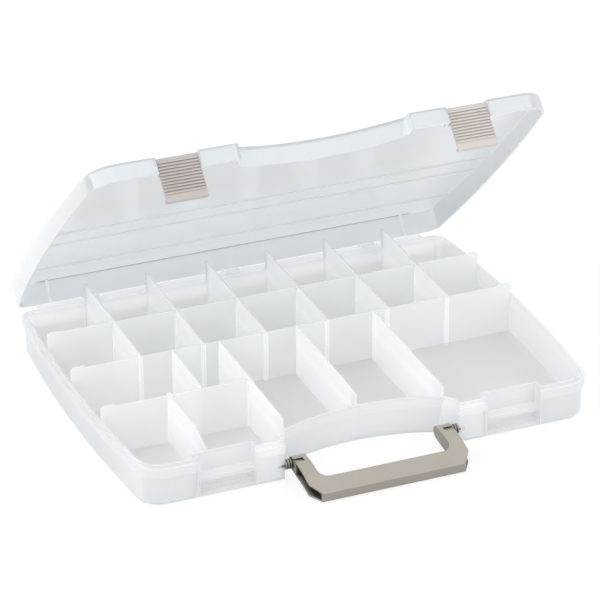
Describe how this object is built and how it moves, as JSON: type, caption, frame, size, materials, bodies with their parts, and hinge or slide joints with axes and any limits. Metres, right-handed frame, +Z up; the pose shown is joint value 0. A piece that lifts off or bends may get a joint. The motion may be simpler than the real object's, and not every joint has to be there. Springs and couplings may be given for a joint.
{
  "type": "fishing tackle box",
  "caption": "Flat satchel tackle box: compartmented tray, hinged wedge-shaped lid, snap latches, drop-down carrying handle in a front recess and lift-out dividers.",
  "frame": {"origin": "centre of the tray's flat underside", "axes": "+Z up, +X along the lid hinge to the right as seen from the handle side, -Y towards the handle"},
  "size_m": [0.441, 0.394, 0.2718],
  "materials": {
    "clear_shell": "translucent milky moulded polypropylene, glossy edges",
    "clear_divider": "translucent thin moulded polypropylene sheet",
    "taupe_plastic": "satin moulded plastic, warm grey beige"
  },
  "bodies": {
    "tray": {"tray": "clear_shell"},
    "lid": {"lid": "clear_shell"},
    "latch_left": {"latch_left": "taupe_plastic"},
    "latch_right": {"latch_right": "taupe_plastic"},
    "handle": {"handle": "taupe_plastic"},
    "divider_back_1": {"divider_back_1": "clear_divider"},
    "divider_back_2": {"divider_back_2": "clear_divider"},
    "divider_back_3": {"divider_back_3": "clear_divider"},
    "divider_back_4": {"divider_back_4": "clear_divider"},
    "divider_back_5": {"divider_back_5": "clear_divider"},
    "divider_back_6": {"divider_back_6": "clear_divider"},
    "divider_back_7": {"divider_back_7": "clear_divider"},
    "divider_middle_1": {"divider_middle_1": "clear_divider"},
    "divider_middle_2": {"divider_middle_2": "clear_divider"},
    "divider_middle_3": {"divider_middle_3": "clear_divider"},
    "divider_middle_4": {"divider_middle_4": "clear_divider"},
    "divider_middle_5": {"divider_middle_5": "clear_divider"},
    "divider_middle_6": {"divider_middle_6": "clear_divider"},
    "divider_middle_7": {"divider_middle_7": "clear_divider"},
    "divider_front_1": {"divider_front_1": "clear_divider"},
    "divider_front_2": {"divider_front_2": "clear_divider"}
  },
  "joints": [
    {"name": "lid_hinge", "type": "hinge", "parent": "tray", "child": "lid", "pos_m": [0, 0.1661, 0.026], "axis": [-1, 0, 0], "range_deg": [-44, 66]},
    {"name": "latch_left_pivot", "type": "hinge", "parent": "lid", "child": "latch_left", "pos_m": [-0.1348, -0.05145, 0.2657], "axis": [-1, 0, 0], "range_deg": [0, 110]},
    {"name": "latch_right_pivot", "type": "hinge", "parent": "lid", "child": "latch_right", "pos_m": [0.1348, -0.05145, 0.2657], "axis": [-1, 0, 0], "range_deg": [0, 110]},
    {"name": "handle_pivot", "type": "hinge", "parent": "tray", "child": "handle", "pos_m": [0, -0.1575, 0.014], "axis": [-1, 0, 0], "range_deg": [0, 98]},
    {"name": "divider_back_1_lift", "type": "slide", "parent": "tray", "child": "divider_back_1", "axis": [0, 0, 1], "range_m": [0, 0.06]},
    {"name": "divider_back_2_lift", "type": "slide", "parent": "tray", "child": "divider_back_2", "axis": [0, 0, 1], "range_m": [0, 0.06]},
    {"name": "divider_back_3_lift", "type": "slide", "parent": "tray", "child": "divider_back_3", "axis": [0, 0, 1], "range_m": [0, 0.06]},
    {"name": "divider_back_4_lift", "type": "slide", "parent": "tray", "child": "divider_back_4", "axis": [0, 0, 1], "range_m": [0, 0.06]},
    {"name": "divider_back_5_lift", "type": "slide", "parent": "tray", "child": "divider_back_5", "axis": [0, 0, 1], "range_m": [0, 0.06]},
    {"name": "divider_back_6_lift", "type": "slide", "parent": "tray", "child": "divider_back_6", "axis": [0, 0, 1], "range_m": [0, 0.06]},
    {"name": "divider_back_7_lift", "type": "slide", "parent": "tray", "child": "divider_back_7", "axis": [0, 0, 1], "range_m": [0, 0.06]},
    {"name": "divider_middle_1_lift", "type": "slide", "parent": "tray", "child": "divider_middle_1", "axis": [0, 0, 1], "range_m": [0, 0.06]},
    {"name": "divider_middle_2_lift", "type": "slide", "parent": "tray", "child": "divider_middle_2", "axis": [0, 0, 1], "range_m": [0, 0.06]},
    {"name": "divider_middle_3_lift", "type": "slide", "parent": "tray", "child": "divider_middle_3", "axis": [0, 0, 1], "range_m": [0, 0.06]},
    {"name": "divider_middle_4_lift", "type": "slide", "parent": "tray", "child": "divider_middle_4", "axis": [0, 0, 1], "range_m": [0, 0.06]},
    {"name": "divider_middle_5_lift", "type": "slide", "parent": "tray", "child": "divider_middle_5", "axis": [0, 0, 1], "range_m": [0, 0.06]},
    {"name": "divider_middle_6_lift", "type": "slide", "parent": "tray", "child": "divider_middle_6", "axis": [0, 0, 1], "range_m": [0, 0.06]},
    {"name": "divider_middle_7_lift", "type": "slide", "parent": "tray", "child": "divider_middle_7", "axis": [0, 0, 1], "range_m": [0, 0.06]},
    {"name": "divider_front_1_lift", "type": "slide", "parent": "tray", "child": "divider_front_1", "axis": [0, 0, 1], "range_m": [0, 0.06]},
    {"name": "divider_front_2_lift", "type": "slide", "parent": "tray", "child": "divider_front_2", "axis": [0, 0, 1], "range_m": [0, 0.06]}
  ]
}
